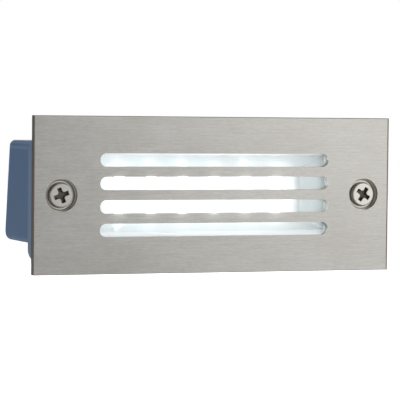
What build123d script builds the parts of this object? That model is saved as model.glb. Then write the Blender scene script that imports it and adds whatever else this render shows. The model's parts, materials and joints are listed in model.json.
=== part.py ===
from build123d import *

import os
from math import atan, cos, radians, tan

os.makedirs("parts", exist_ok=True)

# Recessed step light for a wall. Millimetres throughout. X runs along the plate, seen from in front,
# Y goes into the wall, and Z is up. The origin is on the wall surface, behind the middle of the plate.
# A depth is a place along Y, so what stands in front of the wall surface has a negative depth.

# Faceplate: flat sheet steel with level louvre slots.
plate_width = 122.0
plate_height = 50.0
plate_thickness = 2.5
plate_edge_break = 0.2
slot_count = 4
slot_width = 4.2
slot_end_margin = 21.7  # from the plate's end to the end of a slot
slot_side_margin = 11.8  # from the plate's long edge to the nearest slot
face_gasket_thickness = 0.6
face_gasket_inset = 0.1

# The two screws, whose flat heads with cross recesses lie in counterbores, and the seal on each shank.
screw_inset = 9.0  # from the plate's end to the screw
screw_diameter = 3.5
screw_length = 14.5  # under the head
screw_tip_chamfer = 0.6
screw_head_diameter = 7.6
screw_head_height = 1.75
screw_head_round = 0.35
counterbore_diameter = 10.4
counterbore_depth = 1.85
recess_span = 5.0
recess_arm = 1.4
recess_heart = 2.6  # across the round middle of the cross
recess_depth = 1.3
recess_taper = 8.0
left_recess_turn = 20.0
right_recess_turn = -33.0
screw_seal_diameter = 5.0
screw_seal_length = 2.6

# Wall box: a moulded sleeve that is built into the wall, with a rim behind the plate.
rim_end_inset = 0.2  # from the plate's end to the rim's end
rim_side_inset = 3.1  # from the plate's long edge to the rim's
rim_thickness = 4.0
rim_low_corner = 4.6
rim_high_corner = 9.0
body_end_inset = 3.0
body_side_inset = 8.6
body_rise = 0.4  # the box body sits this much above the plate's middle
box_wall = 1.6
rear_fall = 5.3  # the rear wall leans, and its foot is this much deeper than its head
rear_low_round = 3.0
rear_high_round = 2.0
end_round = 1.8
boss_radius = 4.2
boss_web = 2.0
boss_floor = 1.2
insert_radius = 2.75
insert_length = 9.0
insert_groove = 0.3
pilot_radius = 2.0
knockout_radius = 10.0
knockout_spacing = 54.0
knockout_groove = 0.7

# Cable entry in the box's end wall, in line with the gland on the lamp unit.
grommet_neck_radius = 5.2
grommet_bore_radius = 3.4
grommet_flange_radius = 6.6
grommet_flange = 1.2

# Lens, and its seal against the lamp housing.
lens_thickness = 1.5
lens_corner = 1.5
lens_land = 1.7  # width of the band in which the lens is sealed
lens_gasket_thickness = 0.5
slot_sight_margin = 0.6  # clear opening beyond the slots, on every side

# Lamp housing: a front tray for the lights with a flange, and a driver room behind its left end.
flange_thickness = 1.0
flange_border = 1.0  # beyond the lens, along its long sides
housing_wall = 1.2
housing_corner = 1.5
post_radius = 2.2
post_inset = 1.6
pad_radius = 1.9
pad_height = 2.4
pad_inset = 2.4
stem_radius = 2.4
stem_height = 1.2

# Studs welded to the back of the plate, which carry the lamp housing.
stud_radius = 1.25
stud_edge_gap = 1.8  # between a nut's corner and the box's lower wall
stud_end = 0.7  # past the nut
washer_thickness = 0.5
washer_radius = 2.45
nut_flats = 5.0
nut_thickness = 2.0

# Lights and reflector.
reflector_depth = 12.2  # from its front edge to its floor
reflector_skin = 0.8
reflector_end_slope = 4.4  # how far its end walls lean in
reflector_floor_border = 1.4
led_pitch = 11.0
led_length = 3.5
led_height = 2.8
led_thickness = 1.0
led_eye_border = 0.4
led_eye_depth = 0.15
led_board_thickness = 1.0
led_board_end_gap = 1.0
reflector_screw_offset = 3.6  # from the end of the reflector's floor
small_screw_radius = 1.0
small_head_radius = 1.9
small_head = 1.2
small_drive_width = 0.6
small_drive_depth = 0.5

# Driver: the circuit board and what stands on it, one beside the next from the left.
board_thickness = 1.6
board_end_gap = 5.0
board_side_gap = 0.6
part_gap = 1.0
capacitor_radius = 3.8
capacitor_height = 9.0
core_length = 13.0
core_height = 14.0
core_depth = 9.0
bobbin_length = 9.0
bobbin_height = 16.0
bobbin_depth = 6.0
choke_radius = 3.2
choke_depth = 7.0
choke_waist = 0.7
chip_length = 5.0
chip_height = 4.0
chip_depth = 1.5
terminal_length = 9.0
terminal_height = 10.0
terminal_depth = 9.0
terminal_pitch = 5.0
terminal_screw_radius = 1.5
terminal_screw_length = 3.5
terminal_sunk = 0.8
wire_hole_radius = 1.4
header_length = 2.5
header_height = 5.1
pin_pitch = 2.54
pin_radius = 0.4

# Driver cover with its seal and screws.
cover_thickness = 1.6
cover_seal_thickness = 0.6
cover_seal_width = 1.1
cover_air = 0.6  # above the tallest part
cover_screw_radius = 0.9
cover_screw_head_radius = 2.0
cover_screw_cone = 90.0
cover_screw_length = 9.0
rear_air = 2.2  # between the cover and the box's rear wall, at its head

# Cable gland on the driver room's end wall.
gland_flats = 12.4
gland_hex_length = 3.5
gland_neck_radius = 5.0
gland_neck_length = 5.5
gland_stub_length = 5.2  # through the wall and its locknut
gland_bore_radius = 3.6
gland_nut_skin = 1.0
gland_nut_round = 1.5
gland_nut_start = 0.5
gland_seal_length = 3.0
locknut_thickness = 3.0
locknut_flats = 12.0

# Clearances.
seat_clearance = 0.05  # under a screw head
thread_clearance = 0.05  # round a shank in its thread or its seal
seal_clearance = 0.1  # round a shank seal in its hole
slip_clearance = 0.3  # round the lamp unit in the box
flange_clearance = 0.4  # round the housing flange in its recess
spanner_clearance = 0.3  # beside a nut
drop_in_clearance = 0.15  # round a piece that drops into the tray
hole_clearance = 0.1

# Places along the depth, from the plate's face inwards.
rim_front = -rim_thickness
plate_back = rim_front - face_gasket_thickness
plate_front = plate_back - plate_thickness
lens_back = plate_back + lens_thickness
flange_front = lens_back + lens_gasket_thickness
flange_back = flange_front + flange_thickness
floor_face = flange_front + reflector_depth  # the reflector's floor, seen from in front
led_board_front = floor_face + reflector_skin
led_board_back = led_board_front + led_board_thickness
housing_floor_back = led_board_back + housing_wall
board_front = housing_floor_back + pad_height
board_back = board_front + board_thickness
tallest_part = max(capacitor_height, core_depth, choke_depth, terminal_depth)
cover_front = board_back + tallest_part + cover_air
housing_back = cover_front - cover_seal_thickness
cover_back = cover_front + cover_thickness
gland_depth = (housing_floor_back + cover_back) / 2

# Lengths and heights of the slots and what lines up with them.
slot_length = plate_width - 2 * slot_end_margin
slot_band = plate_height - 2 * slot_side_margin
slot_pitch = (slot_band - slot_width) / (slot_count - 1)
screw_spacing = plate_width - 2 * screw_inset
sight_length = slot_length + 2 * slot_sight_margin
sight_height = slot_band + 2 * slot_sight_margin
lens_length = sight_length + 2 * lens_land
lens_height = sight_height + 2 * lens_land
flange_height = lens_height + 2 * flange_border
flange_length = screw_spacing - 2 * (boss_radius + flange_clearance)
stud_spacing = flange_length - nut_flats - 2 * spanner_clearance
nut_corner_radius = nut_flats / 2 / cos(radians(30))
tray_length = stud_spacing - nut_flats - 2 * spanner_clearance
tray_room_length = tray_length - 2 * housing_wall

# The wall box.
body_length = plate_width - 2 * body_end_inset
body_height = plate_height - 2 * body_side_inset
body_low = body_rise - body_height / 2
body_high = body_rise + body_height / 2
stud_height = -(body_low + box_wall) - nut_corner_radius - stud_edge_gap
lean = atan(rear_fall / body_height)
rear_head_inner = cover_back + rear_air
rear_head = rear_head_inner + box_wall / cos(lean) - box_wall * tan(lean)
rear_foot = rear_head + rear_fall
rear_foot_inner = rear_head_inner + (body_height - 2 * box_wall) * tan(lean)

# The lamp housing stands in the middle of the box body.
tray_height = body_height - 2 * (box_wall + slip_clearance)
tray_room_height = tray_height - 2 * housing_wall
room_left = -tray_length / 2 + housing_wall
board_left = room_left + board_end_gap
capacitor_x = board_left + pad_inset + small_head_radius + part_gap + capacitor_radius
core_x = capacitor_x + capacitor_radius + part_gap + core_length / 2
choke_x = core_x + core_length / 2 + part_gap + choke_radius
terminal_x = choke_x + choke_radius + part_gap + terminal_length / 2
board_right = terminal_x + terminal_length / 2 + part_gap + small_head_radius + pad_inset
room_right = board_right + board_end_gap
driver_end = room_right + housing_wall
room_length = room_right - room_left
room_middle = (room_left + room_right) / 2
board_length = board_right - board_left
board_middle = (board_left + board_right) / 2
board_height = tray_room_height - 2 * board_side_gap
pin_centre_height = body_rise

# The lights stand in two rows behind the inner slots.
led_row_pitch = 1.5 * slot_pitch
floor_length = tray_room_length - 2 * (drop_in_clearance + reflector_end_slope)
floor_height = led_row_pitch + led_height + 2 * reflector_floor_border
led_columns = int(floor_length // led_pitch)
reflector_screw_spacing = floor_length - 2 * reflector_screw_offset

# The faceplate screws.
head_radius = screw_head_diameter / 2
shank_radius = screw_diameter / 2
head_bottom = plate_front + counterbore_depth - seat_clearance
head_top = head_bottom - screw_head_height
screw_tip = head_bottom + screw_length
plate_hole_radius = screw_seal_diameter / 2 + seal_clearance
screw_seal_front = head_bottom + thread_clearance
insert_front = screw_seal_front + screw_seal_length + thread_clearance
insert_back = insert_front + insert_length
pilot_end = max(insert_back, screw_tip) + hole_clearance
boss_end = pilot_end + boss_floor
boss_mouth_radius = screw_seal_diameter / 2 + slip_clearance


def at_depth(depth):
    """The upright plane at a depth, drawn as seen from in front, with X to the right and Z up."""
    return Plane.XZ.offset(-depth)


def small_screw(x, z, head_face, length):
    """A cheese head screw along the depth, with a slot, its head's underside at head_face."""
    with BuildPart() as screw:
        with BuildSketch(at_depth(head_face)):
            with Locations((x, z)):
                Circle(small_head_radius)
        extrude(amount=small_head)
        with BuildSketch(at_depth(head_face)):
            with Locations((x, z)):
                Circle(small_screw_radius)
        extrude(amount=-length)
        with BuildSketch(at_depth(head_face - small_head)):
            with Locations((x, z)):
                Rectangle(2 * small_head_radius, small_drive_width)
        extrude(amount=-small_drive_depth, mode=Mode.SUBTRACT)
    return screw.part


def ring_along_x(x, length, outer, inner):
    """A ring round the cable's line, from x towards the box's end."""
    with BuildPart() as ring:
        with BuildSketch(Plane.YZ.offset(x)):
            with Locations((gland_depth, body_rise)):
                Circle(outer)
                Circle(inner, mode=Mode.SUBTRACT)
        extrude(amount=length)
    return ring.part


# ---- Faceplate, its studs and its gasket ----

with BuildPart() as faceplate:
    with BuildSketch(at_depth(plate_front)):
        Rectangle(plate_width, plate_height)
        with GridLocations(slot_length, slot_pitch, 1, slot_count):
            SlotOverall(slot_length, slot_width, mode=Mode.SUBTRACT)
    extrude(amount=-plate_thickness)
    outline = faceplate.faces().sort_by(Axis.Y)[0].outer_wire().edges()
    chamfer(outline, plate_edge_break)
    with Locations(at_depth(plate_front)):
        with GridLocations(screw_spacing, plate_height, 2, 1):
            CounterBoreHole(
                radius=plate_hole_radius,
                counter_bore_radius=counterbore_diameter / 2,
                counter_bore_depth=counterbore_depth,
                depth=plate_thickness,
            )
faceplate.part.label = "faceplate"
export_step(faceplate.part, "parts/faceplate.step")

with BuildPart() as plate_studs:
    stud_length = flange_back - plate_back + washer_thickness + nut_thickness + stud_end
    with BuildSketch(at_depth(plate_back)):
        with GridLocations(stud_spacing, 2 * stud_height, 2, 2):
            Circle(stud_radius)
    extrude(amount=-stud_length)
plate_studs.part.label = "plate_studs"
export_step(plate_studs.part, "parts/plate_studs.step")

with BuildPart() as face_gasket:
    window_length = stud_spacing + 2 * (stud_radius + slip_clearance)
    with BuildSketch(at_depth(plate_back)):
        Rectangle(plate_width - 2 * face_gasket_inset, plate_height - 2 * face_gasket_inset)
        RectangleRounded(
            window_length, lens_height + 2 * flange_clearance, lens_corner, mode=Mode.SUBTRACT
        )
        with GridLocations(screw_spacing, plate_height, 2, 1):
            Circle(boss_mouth_radius, mode=Mode.SUBTRACT)
    extrude(amount=-face_gasket_thickness)
face_gasket.part.label = "face_gasket"
export_step(face_gasket.part, "parts/face_gasket.step")

# ---- Wall box, its threaded inserts and its cable grommet ----

with BuildPart() as wall_box:
    # The body is a box whose rear wall leans, with its rear and end edges rounded.
    with BuildSketch(Plane.YZ):
        with BuildLine():
            Polyline(
                (rim_front, body_low),
                (rear_foot, body_low),
                (rear_head, body_high),
                (rim_front, body_high),
                close=True,
            )
        make_face()
        fillet(vertices().group_by(Axis.Y)[0].sort_by(Axis.X)[-1], rear_low_round)
        fillet(vertices().group_by(Axis.Y)[-1].sort_by(Axis.X)[-1], rear_high_round)
    extrude(amount=body_length / 2, both=True)
    end_edges = wall_box.faces().filter_by(Axis.X).edges()
    fillet(end_edges.filter_by_position(Axis.Y, 0, rear_foot), end_round)
    with BuildSketch(at_depth(rim_front)):
        Rectangle(plate_width - 2 * rim_end_inset, plate_height - 2 * rim_side_inset)
        fillet(vertices().group_by(Axis.Y)[0], rim_low_corner)
        fillet(vertices().group_by(Axis.Y)[-1], rim_high_corner)
    extrude(amount=-rim_thickness)
    # The hollow is open at the front.
    with BuildSketch(Plane.YZ):
        with BuildLine():
            Polyline(
                (rim_front, body_low + box_wall),
                (rear_foot_inner, body_low + box_wall),
                (rear_head_inner, body_high - box_wall),
                (rim_front, body_high - box_wall),
                close=True,
            )
        make_face()
    extrude(amount=body_length / 2 - box_wall, both=True, mode=Mode.SUBTRACT)
    with BuildSketch(at_depth(rim_front)):
        RectangleRounded(
            flange_length + 2 * flange_clearance,
            flange_height + 2 * flange_clearance,
            housing_corner,
        )
    extrude(amount=-(flange_back + slip_clearance - rim_front), mode=Mode.SUBTRACT)
    # A boss for each screw stands against the end wall on a web.
    with BuildSketch(at_depth(rim_front)):
        with GridLocations(screw_spacing, body_height, 2, 1):
            Circle(boss_radius)
        with GridLocations(screw_spacing / 2 + body_length / 2 - box_wall / 2, body_height, 2, 1):
            Rectangle((body_length - box_wall - screw_spacing) / 2, boss_web)
    extrude(amount=-(boss_end - rim_front))
    with BuildSketch(at_depth(rim_front)):
        with GridLocations(screw_spacing, body_height, 2, 1):
            Circle(boss_mouth_radius)
    extrude(amount=-(insert_front - rim_front), mode=Mode.SUBTRACT)
    with BuildSketch(at_depth(insert_front)):
        with GridLocations(screw_spacing, body_height, 2, 1):
            Circle(insert_radius)
    extrude(amount=-insert_length, mode=Mode.SUBTRACT)
    with BuildSketch(at_depth(insert_front)):
        with GridLocations(screw_spacing, body_height, 2, 1):
            Circle(pilot_radius)
    extrude(amount=-(pilot_end - insert_front), mode=Mode.SUBTRACT)
    # The cable hole goes through the right end wall.
    with BuildSketch(Plane.YZ.offset(body_length / 2 + box_wall)):
        with Locations((gland_depth, body_rise)):
            Circle(grommet_neck_radius)
    extrude(amount=-3 * box_wall, mode=Mode.SUBTRACT)
    # Two round knockouts are scored into the rear wall.
    rear_wall = wall_box.faces().sort_by(Axis.Y)[-1]
    with BuildSketch(Plane(rear_wall.center(), x_dir=(1, 0, 0), z_dir=rear_wall.normal_at())):
        with GridLocations(knockout_spacing, body_height, 2, 1):
            Circle(knockout_radius)
            Circle(knockout_radius - knockout_groove, mode=Mode.SUBTRACT)
    extrude(amount=-box_wall / 2, mode=Mode.SUBTRACT)
wall_box.part.label = "wall_box"
export_step(wall_box.part, "parts/wall_box.step")

with BuildPart() as box_inserts:
    with BuildSketch(at_depth(insert_front)):
        with GridLocations(screw_spacing, body_height, 2, 1):
            Circle(insert_radius)
            Circle(shank_radius + thread_clearance, mode=Mode.SUBTRACT)
    extrude(amount=-insert_length)
    with BuildSketch(at_depth(insert_front + insert_length / 3)):
        with GridLocations(screw_spacing, body_height, 2, 1):
            Circle(insert_radius)
            Circle(insert_radius - insert_groove, mode=Mode.SUBTRACT)
    extrude(amount=-insert_length / 3, mode=Mode.SUBTRACT)
box_inserts.part.label = "box_inserts"
export_step(box_inserts.part, "parts/box_inserts.step")

with BuildPart() as cable_grommet:
    inner_face = body_length / 2 - box_wall
    add(ring_along_x(inner_face, box_wall, grommet_neck_radius, grommet_bore_radius))
    add(
        ring_along_x(
            inner_face - grommet_flange, grommet_flange, grommet_flange_radius, grommet_bore_radius
        )
    )
    add(ring_along_x(body_length / 2, grommet_flange, grommet_flange_radius, grommet_bore_radius))
cable_grommet.part.label = "cable_grommet"
export_step(cable_grommet.part, "parts/cable_grommet.step")

# ---- Lens and its gasket ----

with BuildPart() as lens:
    with BuildSketch(at_depth(plate_back)):
        RectangleRounded(lens_length, lens_height, lens_corner)
    extrude(amount=-lens_thickness)
lens.part.label = "lens"
export_step(lens.part, "parts/lens.step")

with BuildPart() as lens_gasket:
    with BuildSketch(at_depth(lens_back)):
        RectangleRounded(lens_length, lens_height, lens_corner)
        Rectangle(sight_length, sight_height, mode=Mode.SUBTRACT)
    extrude(amount=-lens_gasket_thickness)
lens_gasket.part.label = "lens_gasket"
export_step(lens_gasket.part, "parts/lens_gasket.step")

# ---- Lamp housing ----

with BuildPart() as lamp_housing:
    with BuildSketch(at_depth(flange_front)):
        RectangleRounded(flange_length, flange_height, housing_corner)
    extrude(amount=-flange_thickness)
    with BuildSketch(at_depth(flange_front)):
        with Locations((0, body_rise)):
            RectangleRounded(tray_length, tray_height, housing_corner)
    extrude(amount=-(housing_floor_back - flange_front))
    with BuildSketch(at_depth(led_board_back)):
        with Locations((room_middle, body_rise)):
            RectangleRounded(room_length + 2 * housing_wall, tray_height, housing_corner)
    extrude(amount=-(housing_back - led_board_back))
    # The tray is open at the front, and the driver room at the back.
    with BuildSketch(at_depth(flange_front)):
        with Locations((0, body_rise)):
            Rectangle(tray_room_length, tray_room_height)
    extrude(amount=-(led_board_back - flange_front), mode=Mode.SUBTRACT)
    with BuildSketch(at_depth(housing_floor_back)):
        with Locations((room_middle, body_rise)):
            Rectangle(room_length, tray_room_height)
    extrude(amount=-(housing_back - housing_floor_back), mode=Mode.SUBTRACT)
    # Corner posts take the cover's screws, pads carry the circuit board, and stems the reflector's screws.
    with BuildSketch(at_depth(housing_floor_back)):
        with Locations((room_middle, body_rise)):
            with GridLocations(
                room_length - 2 * post_inset, tray_room_height - 2 * post_inset, 2, 2
            ):
                Circle(post_radius)
            Rectangle(room_length + housing_wall, tray_height - housing_wall, mode=Mode.INTERSECT)
    extrude(amount=-(housing_back - housing_floor_back))
    with BuildSketch(at_depth(housing_floor_back)):
        with Locations((board_middle, body_rise)):
            with GridLocations(board_length - 2 * pad_inset, board_height - 2 * pad_inset, 2, 2):
                Circle(pad_radius)
    extrude(amount=-pad_height)
    with BuildSketch(at_depth(housing_floor_back)):
        with GridLocations(reflector_screw_spacing, tray_height, 2, 1):
            Circle(stem_radius)
    extrude(amount=-stem_height)
    # Pilot holes for those screws.
    with BuildSketch(at_depth(housing_back)):
        with Locations((room_middle, body_rise)):
            with GridLocations(
                room_length - 2 * post_inset, tray_room_height - 2 * post_inset, 2, 2
            ):
                Circle(cover_screw_radius)
    extrude(amount=cover_screw_length, mode=Mode.SUBTRACT)
    with BuildSketch(at_depth(board_front)):
        with Locations((board_middle, body_rise)):
            with GridLocations(board_length - 2 * pad_inset, board_height - 2 * pad_inset, 2, 2):
                Circle(small_screw_radius)
    extrude(amount=pad_height, mode=Mode.SUBTRACT)
    with BuildSketch(at_depth(led_board_back)):
        with GridLocations(reflector_screw_spacing, tray_height, 2, 1):
            Circle(small_screw_radius)
    extrude(amount=-(housing_wall + stem_height), mode=Mode.SUBTRACT)
    # Holes for the studs, the connecting pins and the gland.
    with BuildSketch(at_depth(flange_front)):
        with GridLocations(stud_spacing, 2 * stud_height, 2, 2):
            Circle(stud_radius + hole_clearance)
    extrude(amount=-flange_thickness, mode=Mode.SUBTRACT)
    with BuildSketch(at_depth(led_board_back)):
        with Locations((choke_x, pin_centre_height)):
            Rectangle(2 * pin_radius + 2 * hole_clearance, pin_pitch + 4 * pin_radius)
    extrude(amount=-housing_wall, mode=Mode.SUBTRACT)
    with BuildSketch(Plane.YZ.offset(driver_end)):
        with Locations((gland_depth, body_rise)):
            Circle(gland_neck_radius)
    extrude(amount=-housing_wall, mode=Mode.SUBTRACT)
lamp_housing.part.label = "lamp_housing"
export_step(lamp_housing.part, "parts/lamp_housing.step")

with BuildPart() as housing_washers:
    with BuildSketch(at_depth(flange_back)):
        with GridLocations(stud_spacing, 2 * stud_height, 2, 2):
            Circle(washer_radius)
            Circle(stud_radius, mode=Mode.SUBTRACT)
    extrude(amount=-washer_thickness)
housing_washers.part.label = "housing_washers"
export_step(housing_washers.part, "parts/housing_washers.step")

with BuildPart() as housing_nuts:
    with BuildSketch(at_depth(flange_back + washer_thickness)):
        with GridLocations(stud_spacing, 2 * stud_height, 2, 2):
            RegularPolygon(nut_flats / 2, 6, major_radius=False, rotation=30)
            Circle(stud_radius, mode=Mode.SUBTRACT)
    extrude(amount=-nut_thickness)
housing_nuts.part.label = "housing_nuts"
export_step(housing_nuts.part, "parts/housing_nuts.step")

# ---- Lights and reflector ----

with BuildPart() as reflector:
    # Its walls lean from the floor out to the front edge, which fills the tray's mouth.
    mouth_length = tray_room_length - 2 * drop_in_clearance
    mouth_height = tray_room_height - 2 * drop_in_clearance
    with BuildSketch(at_depth(flange_front)):
        with Locations((0, body_rise)):
            Rectangle(mouth_length, mouth_height)
    with BuildSketch(at_depth(led_board_front)):
        Rectangle(floor_length + 2 * reflector_skin, floor_height + 2 * reflector_skin)
    loft()
    with BuildSketch(at_depth(flange_front)):
        with Locations((0, body_rise)):
            Rectangle(mouth_length - 2 * reflector_skin, mouth_height - 2 * reflector_skin)
    with BuildSketch(at_depth(floor_face)):
        Rectangle(floor_length, floor_height)
    loft(mode=Mode.SUBTRACT)
    with BuildSketch(at_depth(floor_face)):
        with GridLocations(led_pitch, led_row_pitch, led_columns, 2):
            Rectangle(led_length + 2 * hole_clearance, led_height + 2 * hole_clearance)
        with GridLocations(reflector_screw_spacing, floor_height, 2, 1):
            Circle(small_screw_radius + hole_clearance)
    extrude(amount=-reflector_skin, mode=Mode.SUBTRACT)
reflector.part.label = "reflector"
export_step(reflector.part, "parts/reflector.step")

with BuildPart() as led_board:
    with BuildSketch(at_depth(led_board_front)):
        with Locations((0, body_rise)):
            Rectangle(
                tray_room_length - 2 * led_board_end_gap, tray_room_height - 2 * board_side_gap
            )
        with GridLocations(reflector_screw_spacing, floor_height, 2, 1):
            Circle(small_screw_radius + hole_clearance, mode=Mode.SUBTRACT)
        with Locations((choke_x, pin_centre_height)):
            with GridLocations(pin_pitch, pin_pitch, 1, 2):
                Circle(pin_radius, mode=Mode.SUBTRACT)
    extrude(amount=-led_board_thickness)
led_board.part.label = "led_board"
export_step(led_board.part, "parts/led_board.step")

with BuildPart() as leds:
    with BuildSketch(at_depth(led_board_front)):
        with GridLocations(led_pitch, led_row_pitch, led_columns, 2):
            Rectangle(led_length, led_height)
    extrude(amount=led_thickness)
    with BuildSketch(at_depth(led_board_front - led_thickness)):
        with GridLocations(led_pitch, led_row_pitch, led_columns, 2):
            Rectangle(led_length - 2 * led_eye_border, led_height - 2 * led_eye_border)
    extrude(amount=-led_eye_depth, mode=Mode.SUBTRACT)
leds.part.label = "leds"
export_step(leds.part, "parts/leds.step")

with BuildPart() as reflector_screws:
    clamped = reflector_skin + led_board_thickness + housing_wall + stem_height
    for side in (-1, 1):
        add(small_screw(side * reflector_screw_spacing / 2, 0, floor_face, clamped - hole_clearance))
reflector_screws.part.label = "reflector_screws"
export_step(reflector_screws.part, "parts/reflector_screws.step")

# ---- Driver board and its parts ----

with BuildPart() as driver_board:
    with BuildSketch(at_depth(board_front)):
        with Locations((board_middle, body_rise)):
            Rectangle(board_length, board_height)
            with GridLocations(board_length - 2 * pad_inset, board_height - 2 * pad_inset, 2, 2):
                Circle(small_screw_radius + hole_clearance, mode=Mode.SUBTRACT)
        with Locations((choke_x, pin_centre_height)):
            with GridLocations(pin_pitch, pin_pitch, 1, 2):
                Circle(pin_radius, mode=Mode.SUBTRACT)
    extrude(amount=-board_thickness)
driver_board.part.label = "driver_board"
export_step(driver_board.part, "parts/driver_board.step")

with BuildPart() as driver_board_screws:
    for corner in GridLocations(board_length - 2 * pad_inset, board_height - 2 * pad_inset, 2, 2):
        place = corner.position
        with BuildSketch(at_depth(board_back)):
            with Locations((board_middle + place.X, body_rise + place.Y)):
                Circle(small_head_radius)
        extrude(amount=-small_head)
        with BuildSketch(at_depth(board_back)):
            with Locations((board_middle + place.X, body_rise + place.Y)):
                Circle(small_screw_radius)
        extrude(amount=board_thickness + pad_height - hole_clearance)
        with BuildSketch(at_depth(board_back + small_head)):
            with Locations((board_middle + place.X, body_rise + place.Y)):
                Rectangle(2 * small_head_radius, small_drive_width)
        extrude(amount=small_drive_depth, mode=Mode.SUBTRACT)
driver_board_screws.part.label = "driver_board_screws"
export_step(driver_board_screws.part, "parts/driver_board_screws.step")

with BuildPart() as driver_capacitors:
    with BuildSketch(at_depth(board_back)):
        with Locations((capacitor_x, body_rise)):
            with GridLocations(1, 2 * capacitor_radius + part_gap, 1, 2):
                Circle(capacitor_radius)
    extrude(amount=-capacitor_height)
    chamfer(driver_capacitors.faces().sort_by(Axis.Y)[-2:].edges(), capacitor_radius / 8)
driver_capacitors.part.label = "driver_capacitors"
export_step(driver_capacitors.part, "parts/driver_capacitors.step")

with BuildPart() as driver_transformer:
    with BuildSketch(at_depth(board_back)):
        with Locations((core_x, body_rise)):
            Rectangle(core_length, core_height)
    extrude(amount=-core_depth)
    with BuildSketch(at_depth(board_back)):
        with Locations((core_x, body_rise)):
            RectangleRounded(bobbin_length, bobbin_height, part_gap / 2)
    extrude(amount=-bobbin_depth)
driver_transformer.part.label = "driver_transformer"
export_step(driver_transformer.part, "parts/driver_transformer.step")

with BuildPart() as driver_choke:
    choke_z = body_rise + header_height / 2 + part_gap + choke_radius
    with BuildSketch(Plane.XY.offset(choke_z)):
        with BuildLine():
            Polyline(
                (choke_x, board_back),
                (choke_x + choke_radius, board_back),
                (choke_x + choke_radius, board_back + choke_depth / 5),
                (choke_x + choke_radius - choke_waist, board_back + choke_depth / 5),
                (choke_x + choke_radius - choke_waist, board_back + choke_depth * 4 / 5),
                (choke_x + choke_radius, board_back + choke_depth * 4 / 5),
                (choke_x + choke_radius, board_back + choke_depth),
                (choke_x, board_back + choke_depth),
                close=True,
            )
        make_face()
    revolve(axis=Axis((choke_x, 0, choke_z), (0, 1, 0)))
driver_choke.part.label = "driver_choke"
export_step(driver_choke.part, "parts/driver_choke.step")

with BuildPart() as driver_chip:
    with BuildSketch(at_depth(board_back)):
        with Locations((choke_x, body_rise - header_height / 2 - part_gap - chip_height / 2)):
            Rectangle(chip_length, chip_height)
    extrude(amount=-chip_depth)
driver_chip.part.label = "driver_chip"
export_step(driver_chip.part, "parts/driver_chip.step")

with BuildPart() as link_header:
    with BuildSketch(at_depth(housing_floor_back)):
        with Locations((choke_x, pin_centre_height)):
            Rectangle(header_length, header_height)
            with GridLocations(pin_pitch, pin_pitch, 1, 2):
                Circle(pin_radius, mode=Mode.SUBTRACT)
    extrude(amount=-pad_height)
link_header.part.label = "link_header"
export_step(link_header.part, "parts/link_header.step")

with BuildPart() as link_pins:
    with BuildSketch(at_depth(led_board_front)):
        with Locations((choke_x, pin_centre_height)):
            with GridLocations(pin_pitch, pin_pitch, 1, 2):
                Circle(pin_radius)
    extrude(amount=-(board_back + part_gap - led_board_front))
link_pins.part.label = "link_pins"
export_step(link_pins.part, "parts/link_pins.step")

with BuildPart() as terminal_block:
    with BuildSketch(at_depth(board_back)):
        with Locations((terminal_x, body_rise)):
            Rectangle(terminal_length, terminal_height)
    extrude(amount=-terminal_depth)
    with BuildSketch(at_depth(board_back + terminal_depth)):
        with Locations((terminal_x, body_rise)):
            with GridLocations(terminal_pitch, terminal_pitch, 1, 2):
                Circle(terminal_screw_radius)
    extrude(amount=terminal_screw_length + terminal_sunk, mode=Mode.SUBTRACT)
    # The wire holes face the gland.
    with BuildSketch(Plane.YZ.offset(terminal_x + terminal_length / 2)):
        with Locations((board_back + 2 * wire_hole_radius, body_rise)):
            with GridLocations(terminal_pitch, terminal_pitch, 1, 2):
                Circle(wire_hole_radius)
    extrude(amount=-terminal_length * 2 / 3, mode=Mode.SUBTRACT)
terminal_block.part.label = "terminal_block"
export_step(terminal_block.part, "parts/terminal_block.step")

with BuildPart() as terminal_screws:
    terminal_screw_face = board_back + terminal_depth - terminal_sunk
    with BuildSketch(at_depth(terminal_screw_face)):
        with Locations((terminal_x, body_rise)):
            with GridLocations(terminal_pitch, terminal_pitch, 1, 2):
                Circle(terminal_screw_radius)
    extrude(amount=terminal_screw_length)
    with BuildSketch(at_depth(terminal_screw_face)):
        with Locations((terminal_x, body_rise)):
            with GridLocations(terminal_pitch, terminal_pitch, 1, 2):
                Rectangle(2 * terminal_screw_radius, small_drive_width)
    extrude(amount=small_drive_depth, mode=Mode.SUBTRACT)
terminal_screws.part.label = "terminal_screws"
export_step(terminal_screws.part, "parts/terminal_screws.step")

# ---- Driver cover ----

with BuildPart() as cover_seal:
    with BuildSketch(at_depth(housing_back)):
        with Locations((room_middle, body_rise)):
            RectangleRounded(room_length + 2 * housing_wall, tray_height, housing_corner)
            Rectangle(
                room_length + 2 * housing_wall - 2 * cover_seal_width,
                tray_height - 2 * cover_seal_width,
                mode=Mode.SUBTRACT,
            )
    extrude(amount=-cover_seal_thickness)
cover_seal.part.label = "cover_seal"
export_step(cover_seal.part, "parts/cover_seal.step")

with BuildPart() as driver_cover:
    with BuildSketch(at_depth(cover_front)):
        with Locations((room_middle, body_rise)):
            RectangleRounded(room_length + 2 * housing_wall, tray_height, housing_corner)
    extrude(amount=-cover_thickness)
    # Short feet keep the cover off the posts by the seal's thickness.
    with BuildSketch(at_depth(cover_front)):
        with Locations((room_middle, body_rise)):
            with GridLocations(
                room_length - 2 * post_inset, tray_room_height - 2 * post_inset, 2, 2
            ):
                Circle(post_inset)
    extrude(amount=cover_seal_thickness)
    # Seen from behind, up is the other way, so the height changes sign.
    with Locations(at_depth(cover_back).reverse()):
        with Locations((room_middle, -body_rise)):
            with GridLocations(
                room_length - 2 * post_inset, tray_room_height - 2 * post_inset, 2, 2
            ):
                CounterSinkHole(
                    radius=cover_screw_radius,
                    counter_sink_radius=cover_screw_head_radius,
                    depth=cover_thickness + cover_seal_thickness,
                    counter_sink_angle=cover_screw_cone,
                )
driver_cover.part.label = "driver_cover"
export_step(driver_cover.part, "parts/driver_cover.step")

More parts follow.
